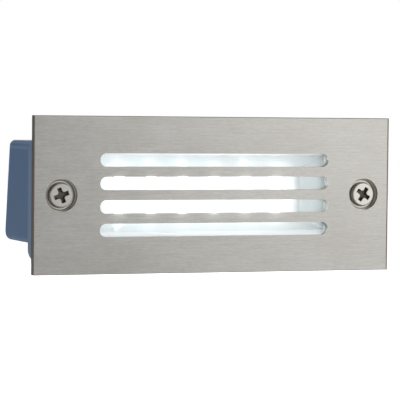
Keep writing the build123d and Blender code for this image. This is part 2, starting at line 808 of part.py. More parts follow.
with BuildPart() as cover_screws:
    cone_depth = (cover_screw_head_radius - cover_screw_radius) / tan(radians(cover_screw_cone / 2))
    for corner in GridLocations(
        room_length - 2 * post_inset, tray_room_height - 2 * post_inset, 2, 2
    ):
        x = room_middle + corner.position.X
        z = body_rise + corner.position.Y
        with BuildSketch(Plane.XY.offset(z)):
            with BuildLine():
                Polyline(
                    (x, cover_back),
                    (x + cover_screw_head_radius, cover_back),
                    (x + cover_screw_radius, cover_back - cone_depth),
                    (x + cover_screw_radius, cover_back - cover_screw_length),
                    (x, cover_back - cover_screw_length),
                    close=True,
                )
            make_face()
        revolve(axis=Axis((x, 0, z), (0, 1, 0)))
        with BuildSketch(at_depth(cover_back)):
            with Locations((x, z)):
                Rectangle(2 * cover_screw_radius, small_drive_width)
        extrude(amount=small_drive_depth, mode=Mode.SUBTRACT)
cover_screws.part.label = "cover_screws"
export_step(cover_screws.part, "parts/cover_screws.step")

# ---- Cable gland ----

with BuildPart() as gland_body:
    with BuildSketch(Plane.YZ.offset(driver_end)):
        with Locations((gland_depth, body_rise)):
            RegularPolygon(gland_flats / 2, 6, major_radius=False, rotation=30)
    extrude(amount=gland_hex_length)
    with BuildSketch(Plane.YZ.offset(driver_end - gland_stub_length)):
        with Locations((gland_depth, body_rise)):
            Circle(gland_neck_radius)
    extrude(amount=gland_stub_length + gland_hex_length + gland_neck_length)
    with BuildSketch(Plane.YZ.offset(driver_end - gland_stub_length)):
        with Locations((gland_depth, body_rise)):
            Circle(gland_bore_radius)
    extrude(
        amount=gland_stub_length + gland_hex_length + gland_neck_length, mode=Mode.SUBTRACT
    )
gland_body.part.label = "gland_body"
export_step(gland_body.part, "parts/gland_body.step")

with BuildPart() as gland_locknut:
    with BuildSketch(Plane.YZ.offset(room_right)):
        with Locations((gland_depth, body_rise)):
            RegularPolygon(locknut_flats / 2, 6, major_radius=False, rotation=30)
            Circle(gland_neck_radius, mode=Mode.SUBTRACT)
    extrude(amount=-locknut_thickness)
gland_locknut.part.label = "gland_locknut"
export_step(gland_locknut.part, "parts/gland_locknut.step")

with BuildPart() as gland_seal:
    neck_end = driver_end + gland_hex_length + gland_neck_length
    add(ring_along_x(neck_end, gland_seal_length, gland_neck_radius, gland_bore_radius))
gland_seal.part.label = "gland_seal"
export_step(gland_seal.part, "parts/gland_seal.step")

with BuildPart() as gland_nut:
    nut_front = driver_end + gland_hex_length + gland_nut_start
    nut_end = neck_end + gland_seal_length + gland_nut_skin
    with BuildSketch(Plane.YZ.offset(nut_front)):
        with Locations((gland_depth, body_rise)):
            RegularPolygon(gland_flats / 2, 6, major_radius=False, rotation=30)
    extrude(amount=nut_end - nut_front)
    fillet(gland_nut.faces().sort_by(Axis.X)[-1].edges(), gland_nut_round)
    with BuildSketch(Plane.YZ.offset(nut_front)):
        with Locations((gland_depth, body_rise)):
            Circle(gland_neck_radius)
    extrude(amount=neck_end + gland_seal_length - nut_front, mode=Mode.SUBTRACT)
    with BuildSketch(Plane.YZ.offset(nut_front)):
        with Locations((gland_depth, body_rise)):
            Circle(gland_bore_radius)
    extrude(amount=nut_end - nut_front, mode=Mode.SUBTRACT)
gland_nut.part.label = "gland_nut"
export_step(gland_nut.part, "parts/gland_nut.step")

# ---- Faceplate screws and the seals on their shanks ----


def faceplate_screw(x, turn):
    """A screw whose flat head has a cross recess, turned by some degrees."""
    with BuildPart() as screw:
        with BuildSketch(at_depth(head_top)):
            with Locations((x, 0)):
                Circle(head_radius)
        extrude(amount=-screw_head_height)
        fillet(screw.faces().sort_by(Axis.Y)[0].edges(), screw_head_round)
        with BuildSketch(at_depth(head_bottom)):
            with Locations((x, 0)):
                Circle(shank_radius)
        extrude(amount=-screw_length)
        chamfer(screw.faces().sort_by(Axis.Y)[-1].edges(), screw_tip_chamfer)
        with BuildSketch(at_depth(head_top)):
            with Locations((x, 0)):
                Rectangle(recess_span, recess_arm, rotation=turn)
                Rectangle(recess_arm, recess_span, rotation=turn)
                Circle(recess_heart / 2)
        extrude(amount=-recess_depth, taper=recess_taper, mode=Mode.SUBTRACT)
    return screw.part


def screw_seal(x):
    """A rubber sleeve round a screw's shank, through the plate's hole."""
    with BuildPart() as seal:
        with BuildSketch(at_depth(screw_seal_front)):
            with Locations((x, 0)):
                Circle(screw_seal_diameter / 2)
                Circle(shank_radius + thread_clearance, mode=Mode.SUBTRACT)
        extrude(amount=-screw_seal_length)
    return seal.part


with BuildPart() as left_faceplate_screw:
    add(faceplate_screw(-screw_spacing / 2, left_recess_turn))
left_faceplate_screw.part.label = "left_faceplate_screw"
export_step(left_faceplate_screw.part, "parts/left_faceplate_screw.step")

with BuildPart() as right_faceplate_screw:
    add(faceplate_screw(screw_spacing / 2, right_recess_turn))
right_faceplate_screw.part.label = "right_faceplate_screw"
export_step(right_faceplate_screw.part, "parts/right_faceplate_screw.step")

with BuildPart() as left_screw_seal:
    add(screw_seal(-screw_spacing / 2))
left_screw_seal.part.label = "left_screw_seal"
export_step(left_screw_seal.part, "parts/left_screw_seal.step")

with BuildPart() as right_screw_seal:
    add(screw_seal(screw_spacing / 2))
right_screw_seal.part.label = "right_screw_seal"
export_step(right_screw_seal.part, "parts/right_screw_seal.step")
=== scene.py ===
import json
from math import pi, radians

import bmesh
import bpy
from bpy.props import FloatProperty, FloatVectorProperty, IntProperty, PointerProperty
from bpy.types import Operator, Panel, PropertyGroup
from mathutils import Matrix, Vector


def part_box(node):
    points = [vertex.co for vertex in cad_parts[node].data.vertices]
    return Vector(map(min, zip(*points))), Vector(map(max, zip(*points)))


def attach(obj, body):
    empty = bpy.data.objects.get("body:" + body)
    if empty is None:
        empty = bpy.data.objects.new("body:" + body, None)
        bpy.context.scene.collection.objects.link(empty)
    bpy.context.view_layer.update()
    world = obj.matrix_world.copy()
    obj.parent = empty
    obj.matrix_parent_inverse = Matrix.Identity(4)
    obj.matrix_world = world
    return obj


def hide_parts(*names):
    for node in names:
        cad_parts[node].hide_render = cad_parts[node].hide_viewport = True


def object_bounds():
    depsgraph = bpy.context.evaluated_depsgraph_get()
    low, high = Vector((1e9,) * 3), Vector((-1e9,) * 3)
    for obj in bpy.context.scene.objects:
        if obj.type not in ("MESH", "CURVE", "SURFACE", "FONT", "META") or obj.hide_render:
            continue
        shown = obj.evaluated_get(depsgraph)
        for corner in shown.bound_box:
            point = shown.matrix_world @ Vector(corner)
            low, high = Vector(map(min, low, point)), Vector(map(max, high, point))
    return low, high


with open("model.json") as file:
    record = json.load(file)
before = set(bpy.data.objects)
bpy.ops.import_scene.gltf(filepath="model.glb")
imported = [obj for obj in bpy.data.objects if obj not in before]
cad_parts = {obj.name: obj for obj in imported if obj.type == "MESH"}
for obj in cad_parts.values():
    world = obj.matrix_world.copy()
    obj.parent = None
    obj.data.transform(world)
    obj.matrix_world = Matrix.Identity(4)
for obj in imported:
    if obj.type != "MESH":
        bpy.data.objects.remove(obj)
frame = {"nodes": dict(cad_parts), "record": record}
frame_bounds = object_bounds()

bl_info = {
    "name": "Recessed Step Light",
    "version": (1, 0, 0),
    "blender": (4, 5, 0),
    "location": "3D View > Sidebar > Step Light",
    "description": "Finishes, threads, light and stage for a louvred steel step light in its box",
    "category": "Object",
}

MM = 0.001
SIDES = ("left", "right")

# Sizes of the CAD model that the finishes and the threads follow.
EDGE_BREAK = 0.2 * MM  # the chamfer round the faceplate's outline
SCREW_INSET = 9 * MM  # from the faceplate's end to a screw
SEAT_RADIUS = 5.2 * MM  # of the counterbore round a screw
HEAD_HEIGHT = 1.75 * MM  # of a faceplate screw
RECESS_REACH = 2.62 * MM  # from a screw's axis to past the end of its cross recess
TIP_TAPER = 0.6 * MM  # length of a screw's chamfered tip
LED_EYE_DEPTH = 0.15 * MM  # how far the eye lies under the package's front
BODY_TOP = 16.8 * MM  # of the wall box's body, above the middle of the faceplate

# The faceplate's patterns.
HAIR_STRETCH = (0.2, 1.3, 1.3)  # the long hairs' frequency along each axis, against the lines'
HAIR_SHARE = 0.35  # of the grain, the rest being short lines
CLOUD_STRETCH = 0.45  # the patches' frequency along the plate, against that across it
CLOUD_SHARE = 0.28  # of the face's pattern, the rest being grain
SQUARE_TO_DEPTH = (0.9, 0.97)  # the normal's share along the depth, from wall to face
SHADE_RING_SPACING = 0.82 * MM  # between the rings in a counterbore, drawn as tool marks that paint its shade and light
DARK_RING = 0.4  # the shade of the darkest ring, a painted shadow, against the seat's colour
PALE_RING = 1.3  # and of the palest, a painted highlight
RIGHT_SHADOW_LINE_WIDTH = 0.34 * MM  # how far a painted shadow line, in the dull edge's colour, reaches onto the face at the plate's right end
EDGE_ROUGHNESS = 0.5  # of the sheared edge
GLOSS_SPREAD = 0.04  # of the face's roughness, either way
MASK_FADE = 0.05 * MM  # over which one finish gives way to the next

# Patterns of the other finishes.
WAVE_LENGTH = pi / 10  # between the bands of a wave texture at scale 1
TURNED_RING = 0.4932 * MM  # between the tool marks on turned metal
WIRE_PITCH = 0.592 * MM  # between the turns of a coil
COIL_REACH = 2.2 * MM  # from the middle of a choke to the end of its coil
TRACK_RUN = 7 * MM  # length of a circuit board's square runs
TRACK_PITCH = 2.6 * MM  # from one row of tracks to the next
FLOW_SIZE = 14 * MM  # of the slow changes of shade in a moulding
POLYCARBONATE_IOR = 1.585

# The painted glow in the reflector and the housing, which are no lamps. It fades between where it
# ends and where it is full, and along X both places are past the end of the LEDs' rows.
FLOOR_GLOW_END = 7.6 * MM
FLOOR_GLOW_FULL = 2.7 * MM
WALL_GLOW_END = 12 * MM
WALL_GLOW_FULL = 3 * MM
FLOOR_SIDE_END = 1.7 * MM  # above and below the rows, where the floor meets the long walls
FLOOR_SIDE_FULL = 1.2 * MM
LOWER_WALL_RIGHT = 0.6  # the lower wall's glow at the rows' right end, against that at their left
UPPER_WALL_LEFT = 1.15  # the upper wall's glow at the left, against the lower wall's there
UPPER_WALL_RIGHT = 0.4  # and on the right
UPPER_WALL_TURN = 0.1  # where it gets there, against half the rows' length
RIM_RIGHT = 0.5  # the rim's glow at its right end, against that at its left
RIM_TURN = 0.4  # where it starts to fall, against half the rows' length
RIM_DEPTH_END = 0.2 * MM  # behind the reflector's front
RIM_DEPTH_FULL = 0.1 * MM
HOUSING_SIDE_END = 0.6 * MM  # past the reflector's long sides
HOUSING_SIDE_FULL = 0.3 * MM
HOUSING_DEPTH_END = 2.5 * MM  # behind the reflector's front
HOUSING_DEPTH_FULL = 1.5 * MM

# The paler places on the wall box are painted light: highlight lines under the top edge, where its
# rounding catches light from above, and a paler rim. A line has a share of the way down, and how
# pale it is.
TOP_HIGHLIGHT_DEPTH = 4 * MM  # of all the painted highlight lines, under the top edge
TOP_HIGHLIGHT_LINES = (
    (0.06, 0.1), (0.12, 0.6), (0.24, 0.45), (0.34, 0.05), (0.44, 0.1), (0.53, 0.42), (0.64, 0.3),
    (0.76, 0.0),
)
RIM_PAINTED_LIGHT = 0.45  # of the painted light on the rim and on the box just behind it
RIM_LIGHT_END = 3.2 * MM  # behind the wall surface
RIM_LIGHT_FULL = 2.6 * MM

# The threads of the faceplate screws.
WELD = 0.001 * MM  # points nearer than this are one
NECK = 0.2 * MM  # over which the plain shank narrows to the core
TIP_NARROWING = 0.5 * MM  # of the core's radius at the tip
THREAD_START = 0.4 * MM  # behind the plain shank
THREAD_OVERRUN = 0.2 * MM  # past the start of the tip
THREAD_SINK = 0.03 * MM  # of the ridge's foot into the core
THREAD_FOOT = 0.44  # half the width of the ridge's foot, against the pitch
CREST_FLAT = 0.08 * MM  # the width of the ridge's crest

# The stage. A softbox has a place in metres, a width and a height.
SOFTBOXES = {
    "right": ((0.776, -1.40, 0.13), 0.5, 1.2),
    "front": ((-0.8, -1.3, 0.5), 0.9, 0.9),
    "left": ((-1.3, -0.1, 0.2), 0.8, 0.8),
    "back": ((1.0, 1.6, 0.5), 1.7, 1.6),
}
SUN_WIDTH = radians(40)  # how wide the overhead light is in the sky
FLOOR_REACH = 4.0  # from the middle of the floor to its edge, in metres
FLOOR_GLOW = 0.8  # which only the camera sees
SENSOR_WIDTH = 36  # in millimetres, as the focal length is
GLARE = {"Threshold": 1.5, "Strength": 0.5, "Size": 0.12}  # only what is over the threshold glows


def linear(hex_colour):
    """Turns an sRGB colour such as #a0b1c2 into linear red, green and blue."""
    shares = [int(hex_colour[at:at + 2], 16) / 255 for at in (1, 3, 5)]
    return tuple(s / 12.92 if s <= 0.04045 else ((s + 0.055) / 1.055) ** 2.4 for s in shares)


def rgba(colour):
    """A colour of three shares with full opacity, as a node's socket takes it."""
    return (*colour, 1.0)


def scaled(colour, share):
    """A colour made darker, or paler with a share over 1."""
    return tuple(share * part for part in colour)


def colour_prop(name, description, hex_colour):
    """A colour that the sidebar shows as a swatch."""
    return FloatVectorProperty(
        name=name, description=description, subtype="COLOR", size=3, min=0, max=1,
        default=linear(hex_colour),
    )


# Sizes and colours -------------------------------------------------------------------------------


class StepLightSteel(PropertyGroup):
    """The faceplate's stainless steel and its screws."""

    face: colour_prop("Brushed face", "Stainless steel under a level brushed grain", "#cccac6")
    grain: colour_prop("Grain", "The darker, browner bottoms of the brush lines", "#b6b3ad")
    wall: colour_prop("Slot wall", "The punched walls of the louvres", "#d8d6d1")
    seat: colour_prop("Screw seat", "The counterbore round each screw", "#d3cec6")
    # Also the colour of a painted shadow line along the face at the plate's right end.
    cut_edge_and_shadow_line: colour_prop("Cut edge", "The sheet's sheared edge, dull and brown", "#8a817a")
    screw: colour_prop("Screw head", "Bright stainless steel", "#d5d2cc")
    # Painted shade: the colour of the cross recess.
    recess: colour_prop("Cross recess", "Punched steel with dirt in it", "#7d766e")
    grain_width: FloatProperty(
        name="Grain width", description="Width of one brush line, as it can be seen",
        unit="LENGTH", default=0.24 * MM,
    )
    grain_length: FloatProperty(
        name="Grain length", description="How far a brush line runs", unit="LENGTH",
        default=1.8 * MM,
    )
    blotch: FloatProperty(
        name="Blotch size", description="Size of the faint cloudy patches in the sheet",
        unit="LENGTH", default=11 * MM,
    )
    face_roughness: FloatProperty(
        name="Face roughness", description="Roughness of the brushed face", subtype="FACTOR",
        min=0, max=1, default=0.36,
    )


class StepLightBox(PropertyGroup):
    """The moulded wall box."""

    skin: colour_prop("Box", "Slate blue polypropylene", "#55749d")
    scuffed: colour_prop("Box, rubbed", "Paler where the moulding is rubbed", "#5c7da5")
    # The colour of the painted highlight lines under the top edge and of the painted light on the
    # rim.
    flow: colour_prop("Box, palest", "Flow lines under the top edge, and the rim", "#8da3bb")
    grit: FloatProperty(
        name="Mould texture", description="Grain that the mould's sparked walls leave",
        unit="LENGTH", default=0.45 * MM,
    )


class StepLightLamp(PropertyGroup):
    """The lit parts behind the louvres."""

    glow: colour_prop("LED light", "Cool white light of the LEDs", "#fafbff")
    phosphor: colour_prop("LED eye", "Pale yellow phosphor under the clear dome", "#f2eeb0")
    reflector: colour_prop("Reflector", "White moulding with a sea green cast", "#ecf1f1")
    lens: colour_prop("Lens", "Clear polycarbonate with a faint sea green cast", "#f6fbfb")
    housing: colour_prop("Lamp housing", "Pale grey polycarbonate", "#b9bfc2")
    led_strength: FloatProperty(
        name="LED strength", description="Radiance of each LED's eye", min=0, default=730
    )
    # Painted glow: the reflector's floor and its nylon screws glow as if lit.
    painted_floor_glow: FloatProperty(
        name="Reflector glow",
        description="Radiance of the reflector's floor, which the LEDs' light soaks through",
        min=0, default=0.9,
    )
    painted_wall_glow: FloatProperty(
        name="Wall glow",
        description="Radiance of the reflector's lower long wall at its left end",
        min=0, default=0.31,
    )
    painted_rim_glow: FloatProperty(
        name="Rim glow",
        description="Radiance of the rims of the reflector and the housing, behind the lens",
        min=0, default=0.8,
    )


class StepLightThread(PropertyGroup):
    """The thread cut on each faceplate screw."""

    pitch: FloatProperty(
        name="Pitch", description="Rise of one turn", unit="LENGTH", default=0.6 * MM
    )
    depth: FloatProperty(
        name="Depth", description="From crest to root", unit="LENGTH", default=0.33 * MM
    )
    plain: FloatProperty(
        name="Plain shank", description="Length under the head with no thread", unit="LENGTH",
        default=2.2 * MM,
    )
    steps: IntProperty(name="Steps", description="Facets in one turn", min=8, default=24)


class StepLightStage(PropertyGroup):
    """The camera, the lights and the floor."""

    camera_place: FloatVectorProperty(
        name="Camera place", description="Where the camera stands", subtype="TRANSLATION", size=3,
        default=(-0.2712, -0.6929, 0.0270),
    )
    yaw: FloatProperty(
        name="Yaw", description="How far it looks to the right", subtype="ANGLE",
        default=radians(21.17),
    )
    pitch: FloatProperty(
        name="Pitch", description="How far it looks down", subtype="ANGLE", default=radians(2.23)
    )
    roll: FloatProperty(
        name="Roll", description="How far it leans", subtype="ANGLE", default=radians(0.59)
    )
    lens_length: FloatProperty(
        name="Focal length", description="Millimetres, on a sensor 36 mm wide", min=1, default=207
    )
    floor_drop: FloatProperty(
        name="Floor", description="How far the floor is under the object", unit="LENGTH",
        default=0.14,
    )
    fill: FloatProperty(
        name="Room light", description="Light that comes from all round", min=0, default=0.17
    )
    overhead: FloatProperty(
        name="Overhead light", description="Light from straight above", min=0, default=0.5
    )
    right: FloatProperty(
        name="Right softbox", description="Radiance of the softbox on the right", min=0,
        default=2.18,
    )
    front: FloatProperty(
        name="Front softbox", description="Radiance of the softbox in front", min=0, default=0.3
    )
    left: FloatProperty(
        name="Left softbox", description="Radiance of the softbox on the left", min=0, default=1.5
    )
    back: FloatProperty(
        name="Back softbox", description="Radiance of the softbox behind", min=0, default=1.0
    )


GROUPS = {
    "step_light_steel": StepLightSteel,
    "step_light_box": StepLightBox,
    "step_light_lamp": StepLightLamp,
    "step_light_thread": StepLightThread,
    "step_light_stage": StepLightStage,
}


def settings(group):
    """One of the groups of sizes and colours, as the sidebar shows it."""
    return getattr(bpy.context.scene, "step_light_" + group)


# Nodes -------------------------------------------------------------------------------------------


def add_node(tree, kind, inputs=None, **options):
    """Adds a node. Each input is a plain value or another node's output."""
    made = tree.nodes.new("ShaderNode" + kind)
    for name, value in options.items():
        setattr(made, name, value)
    for socket, source in (inputs or {}).items():
        if isinstance(source, bpy.types.NodeSocket):
            tree.links.new(source, made.inputs[socket])
        else:
            made.inputs[socket].default_value = source
    return made


def object_place(tree):
    """Where a point is in the shared frame, in metres."""
    return add_node(tree, "TexCoord").outputs["Object"]


def axes_of(tree, vector):
    """A vector's X, Y and Z."""
    return add_node(tree, "SeparateXYZ", {"Vector": vector}).outputs


def calculate(tree, operation, *terms):
    """A sum with numbers."""
    return add_node(tree, "Math", dict(enumerate(terms)), operation=operation).outputs["Value"]


def calculate_vector(tree, operation, *terms):
    """A sum with vectors, whose answer is a vector."""
    made = add_node(tree, "VectorMath", dict(enumerate(terms)), operation=operation)
    return made.outputs["Vector"]


def graded(tree, value, start=0.0, end=1.0, low=0.0, high=1.0):
    """A number that goes from low to high as a value goes from start to end, and no further."""
    inputs = {"Value": value, "From Min": start, "From Max": end, "To Min": low, "To Max": high}
    return add_node(tree, "MapRange", inputs).outputs["Result"]


def blended(tree, factor, first, second):
    """A number between two others, nearer to the second as the factor grows."""
    inputs = {"Factor": factor, "A": first, "B": second}
    return add_node(tree, "Mix", inputs, data_type="FLOAT").outputs["Result"]


def painted(tree, factor, under, over):
    """One colour over another, as far as the factor says."""
    return add_node(
        tree, "MixRGB", {"Fac": factor, "Color1": under, "Color2": over}
    ).outputs["Color"]


def two_tone(tree, pattern, dark, light, low=0.3, high=0.7):
    """A colour that goes from dark to light as the pattern goes from low to high."""
    ramp = add_node(tree, "ValToRGB", {"Fac": pattern})
    ramp.color_ramp.elements[0].position = low
    ramp.color_ramp.elements[0].color = rgba(dark)
    ramp.color_ramp.elements[1].position = high
    ramp.color_ramp.elements[1].color = rgba(light)
    return ramp.outputs["Color"]


def noise(tree, place, size=1.0, detail=2.0, roughness=0.5):
    """Cloudy noise between 0 and 1, with blobs about as wide as the size."""
    inputs = {"Vector": place, "Scale": 1 / size, "Detail": detail, "Roughness": roughness}
    return add_node(tree, "TexNoise", inputs).outputs["Fac"]


def stretched(tree, place, scale):
    """A place with its axes scaled."""
    return add_node(tree, "Mapping", {"Vector": place, "Scale": scale}).outputs["Vector"]


def bands(tree, place, spacing, waver=0.0, detail=2.0):
    """Waves between 0 and 1 that follow each other along the depth, and waver."""
    inputs = {
        "Vector": place, "Scale": WAVE_LENGTH / spacing, "Distortion": waver, "Detail": detail
    }
    made = add_node(tree, "TexWave", inputs, wave_type="BANDS", bands_direction="Y")
    return made.outputs["Fac"]


def relief(tree, height, strength, depth):
    """The normal of a surface that a pattern raises and sinks."""
    inputs = {"Height": height, "Strength": strength, "Distance": depth}
    return add_node(tree, "Bump", inputs).outputs["Normal"]


def off_screw_axis(tree, place):
    """How far a point is from the axis of the nearer faceplate screw."""
    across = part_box("faceplate")[1].x - SCREW_INSET
    folded = calculate_vector(tree, "ABSOLUTE", place)
    offset = calculate_vector(tree, "SUBTRACT", folded, (across, 0, 0))
    flat = calculate_vector(tree, "MULTIPLY", offset, (1, 0, 1))
    return add_node(tree, "VectorMath", {0: flat}, operation="LENGTH").outputs["Value"]


def start_finish(name, inputs):
    """A new material with one Principled shader. Returns it, its node tree and the shader."""
    material = bpy.data.materials.new(name)
    material.use_nodes = True
    tree = material.node_tree
    tree.nodes.clear()
    shader = add_node(tree, "BsdfPrincipled", inputs)
    add_node(tree, "OutputMaterial", {"Surface": shader.outputs["BSDF"]})
    return material, tree, shader


def opened(material):
    """A material's node tree and its Principled shader."""
    return material.node_tree, material.node_tree.nodes["Principled BSDF"]


def join(tree, shader, patterns):
    """Joins a shader's sockets to the patterns that drive them."""
    for socket, source in patterns.items():
        tree.links.new(source, shader.inputs[socket])


# Finishes ----------------------------------------------------------------------------------------


def moulded(name, dark, light, grit, roughness, relief_depth, ior):
    """A moulded plastic or rubber: fine grit from the mould's sparked steel breaks up the sheen,
    and slow changes of shade and gloss show where the melt flowed and hands rubbed."""
    material, tree, shader = start_finish(name, {"IOR": ior})
    place = object_place(tree)
    flow = noise(tree, place, FLOW_SIZE, detail=3.0, roughness=0.6)
    pits = noise(tree, place, grit)
    join(tree, shader, {
        "Base Color": two_tone(tree, flow, dark, light),
        "Roughness": graded(tree, flow, 0.25, 0.75, roughness - 0.05, roughness + 0.07),
        "Normal": relief(tree, pits, strength=0.35, depth=relief_depth),
    })
    return material


def turned(name, dark, light, roughness):
    """Metal turned on a lathe along the depth: rings of tool marks carry the highlights, over faint
    handling marks. The rings are drawn coarser than the real 0.05 mm, so that they show."""
    material, tree, shader = start_finish(name, {"Metallic": 1.0})
    place = object_place(tree)
    rings = bands(tree, place, TURNED_RING, waver=1.5, detail=1.0)
    marks = noise(tree, place, 1.6 * MM, detail=4.0)
    join(tree, shader, {
        "Base Color": two_tone(tree, marks, dark, light),
        "Roughness": graded(tree, marks, low=roughness - 0.06, high=roughness + 0.08),
        "Normal": relief(tree, rings, strength=0.12, depth=0.01 * MM),
    })
    return material


def brushed_stainless_sheet():
    """Stainless sheet, belt brushed along its length: level hairlines and faint cloudy patches on
    the face, bright punched walls in the louvres, rings in the counterbore round each screw, drawn
    as tool marks, whose dark and pale shades are painted shade and light, and a dull brown sheared
    edge, also painted onto the face at the right end as a shadow line. Real hairlines are about
    0.08 mm apart and tool marks 0.1 mm, too fine to show, so both are drawn coarser."""
    steel = settings("steel")
    material, tree, shader = start_finish("brushed_stainless_steel_sheet", {"Metallic": 1.0})
    place = object_place(tree)

    across_grain = 1 / steel.grain_width
    grain = stretched(tree, place, (1 / steel.grain_length, across_grain, across_grain))
    lines = noise(tree, grain, detail=4.0, roughness=0.75)
    hairs = noise(tree, stretched(tree, grain, HAIR_STRETCH))
    brushed = blended(tree, HAIR_SHARE, lines, hairs)
    patch = 1 / steel.blotch
    patches = stretched(tree, place, (CLOUD_STRETCH * patch, patch, patch))
    clouds = noise(tree, patches, detail=4.0, roughness=0.6)
    pattern = blended(tree, CLOUD_SHARE, brushed, clouds)
    face = two_tone(tree, pattern, steel.grain, steel.face, low=0.4, high=0.6)

    # The face and the back look along the depth; the walls of the louvres and the outline don't.
    facing = axes_of(tree, add_node(tree, "TexCoord").outputs["Normal"])["Y"]
    on_face = graded(tree, calculate(tree, "ABSOLUTE", facing), *SQUARE_TO_DEPTH)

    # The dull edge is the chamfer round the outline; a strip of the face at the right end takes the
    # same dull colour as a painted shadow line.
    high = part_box("faceplate")[1]
    moved = calculate_vector(tree, "ADD", place, (RIGHT_SHADOW_LINE_WIDTH / 2, 0, 0))
    folded = calculate_vector(tree, "ABSOLUTE", moved)
    face_end = (high.x - EDGE_BREAK - RIGHT_SHADOW_LINE_WIDTH / 2, 0, high.z - EDGE_BREAK)
    past = axes_of(tree, calculate_vector(tree, "SUBTRACT", folded, face_end))
    furthest = calculate(tree, "MAXIMUM", past["X"], past["Z"])
    edge_and_shadow_line = graded(tree, furthest, 0.0, MASK_FADE)

    away = off_screw_axis(tree, place)
    in_seat = graded(tree, away, SEAT_RADIUS + 0.04 * MM, SEAT_RADIUS + 0.01 * MM)
    # The rings are drawn as tool marks; their dark and pale shades are painted shade and light in
    # the counterbore.
    rings = calculate(tree, "SINE", calculate(tree, "MULTIPLY", away, 2 * pi / SHADE_RING_SPACING))
    dark_ring, pale_ring = scaled(steel.seat, DARK_RING), scaled(steel.seat, PALE_RING)
    seat = two_tone(tree, rings, dark_ring, pale_ring, low=0.0, high=1.0)

    inside = painted(tree, on_face, rgba(steel.wall), face)
    by_screw = painted(tree, in_seat, inside, seat)
    even = steel.face_roughness
    face_gloss = graded(tree, pattern, 0.3, 0.7, even - GLOSS_SPREAD, even + GLOSS_SPREAD)
    join(tree, shader, {
        "Base Color": painted(tree, edge_and_shadow_line, by_screw, rgba(steel.cut_edge_and_shadow_line)),
        "Roughness": blended(tree, edge_and_shadow_line, face_gloss, EDGE_ROUGHNESS),
        "Normal": relief(tree, lines, strength=0.1, depth=0.02 * MM),
    })
    return material


def bright_screw_steel():
    """Cold headed stainless screw, barrel polished: smooth and bright with small soft dents, and
    rough in the cross recess, where the punch leaves a rough wall, which is also painted dark as
    shade. The recess is what lies inside the head, no further from the axis than the cross reaches."""
    steel = settings("steel")
    material, tree, shader = start_finish("bright_screw_steel", {"Metallic": 1.0})
    place = object_place(tree)
    dents = noise(tree, place, 0.9 * MM)
    worn = two_tone(tree, dents, scaled(steel.screw, 0.93), steel.screw)
    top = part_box("left_faceplate_screw")[0].y
    depth = axes_of(tree, place)["Y"]
    # Painted shade inside the cross recess, below the head's top.
    near = graded(tree, off_screw_axis(tree, place), RECESS_REACH, RECESS_REACH - MASK_FADE)
    under = graded(tree, depth, top + 0.05 * MM, top + 0.5 * MM)
    above = graded(tree, depth, top + 0.95 * HEAD_HEIGHT, top + 0.9 * HEAD_HEIGHT)
    recess_shade = calculate(tree, "MULTIPLY", calculate(tree, "MULTIPLY", near, under), above)
    join(tree, shader, {
        "Base Color": painted(tree, recess_shade, worn, rgba(steel.recess)),
        "Roughness": graded(tree, recess_shade, low=0.34, high=0.6),
        "Normal": relief(tree, dents, strength=0.15, depth=0.01 * MM),
    })
    return material


def clear_polycarbonate():
    """Moulded clear polycarbonate sheet: clear, with a faint sea green cast and a soft haze."""
    lens = rgba(settings("lamp").lens)
    material, tree, shader = start_finish(
        "clear_polycarbonate",
        {"IOR": POLYCARBONATE_IOR, "Transmission Weight": 1.0, "Base Color": lens},
    )
    haze = noise(tree, object_place(tree), 6 * MM)
    join(tree, shader, {"Roughness": graded(tree, haze, low=0.1, high=0.14)})
    return material


def lit_reflector():
    """White moulding round the LEDs, with a satin gloss, and a painted glow in place of their light
    on it: its floor glows as far as the ends of the rows, its walls glow less, and least at the
    right, and its front rim glows as well."""
    lamp = settings("lamp")
    pale = scaled(lamp.reflector, 0.95)
    material = moulded(
        "satin_white_reflector_painted_glow", pale, lamp.reflector,
        grit=1.5 * MM, roughness=0.42, relief_depth=0.004 * MM, ior=1.5,
    )
    tree, shader = opened(material)
    shader.inputs["Emission Color"].default_value = rgba(lamp.glow)
    row_end, row_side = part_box("leds")[1].xz
    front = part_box("reflector")[0].y
    place = object_place(tree)
    spot = axes_of(tree, place)
    reach = axes_of(tree, calculate_vector(tree, "ABSOLUTE", place))

    # Painted glow, strongest on the floor along the rows and weaker on the walls and rim.
    floor = graded(
        tree, reach["X"], row_end + FLOOR_GLOW_END, row_end + FLOOR_GLOW_FULL, high=lamp.painted_floor_glow
    )
    wall = lamp.painted_wall_glow
    lower = graded(tree, spot["X"], -row_end, row_end, wall, LOWER_WALL_RIGHT * wall)
    upper = graded(
        tree, spot["X"], -row_end, UPPER_WALL_TURN * row_end, UPPER_WALL_LEFT * wall,
        UPPER_WALL_RIGHT * wall,
    )
    either = graded(tree, spot["Z"], -row_side, row_side, lower, upper)
    before_end = graded(tree, spot["X"], row_end + WALL_GLOW_END, row_end + WALL_GLOW_FULL)
    long_wall = calculate(tree, "MULTIPLY", either, before_end)
    on_floor = graded(tree, reach["Z"], row_side + FLOOR_SIDE_END, row_side + FLOOR_SIDE_FULL)
    behind = blended(tree, on_floor, long_wall, floor)

    rim = graded(
        tree, spot["X"], row_end + WALL_GLOW_END, RIM_TURN * row_end, RIM_RIGHT * lamp.painted_rim_glow,
        lamp.painted_rim_glow,
    )
    on_rim = graded(tree, spot["Y"], front + RIM_DEPTH_END, front + RIM_DEPTH_FULL)
    join(tree, shader, {"Emission Strength": blended(tree, on_rim, behind, rim)})
    return material


